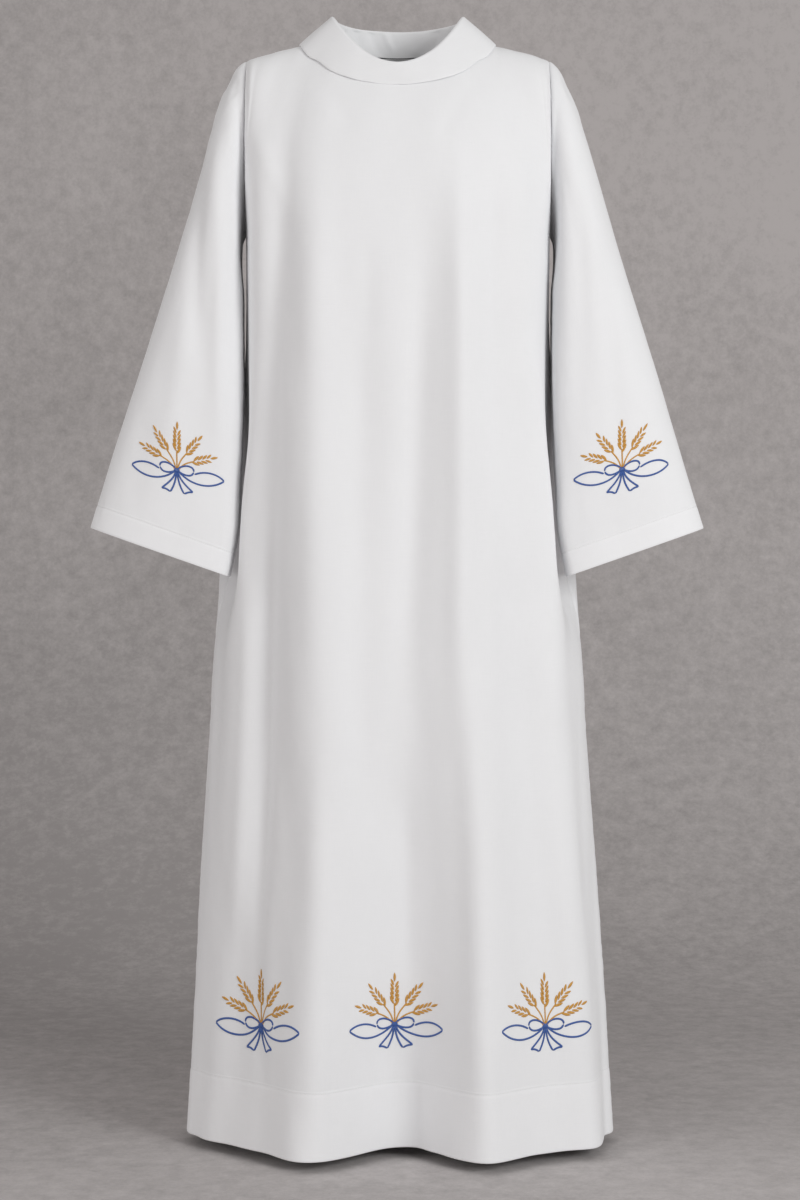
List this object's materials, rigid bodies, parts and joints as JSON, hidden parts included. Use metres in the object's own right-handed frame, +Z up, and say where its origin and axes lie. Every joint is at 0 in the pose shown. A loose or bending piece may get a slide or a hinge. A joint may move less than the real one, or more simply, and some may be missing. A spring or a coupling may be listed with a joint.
{
  "type": "alb robe",
  "caption": "White ankle-length alb robe in its hollow worn form: front, back, two flared sleeves and a turned-down roll collar, with line embroidery near the hem and on the sleeves.",
  "frame": {"origin": "on the centre line of the neck at the height of the shoulders' tops, where the wearer's shoulders hold the robe up", "axes": "+Z up, the robe's front faces -Y, +X is the wearer's left"},
  "size_m": [0.81, 0.3587, 1.4862],
  "materials": {
    "robe_cloth": "matte, finely woven"
  },
  "bodies": {
    "root": {"front": "robe_cloth", "back": "robe_cloth", "sleeve_right": "robe_cloth", "sleeve_left": "robe_cloth", "collar": "robe_cloth"}
  },
  "joints": []
}
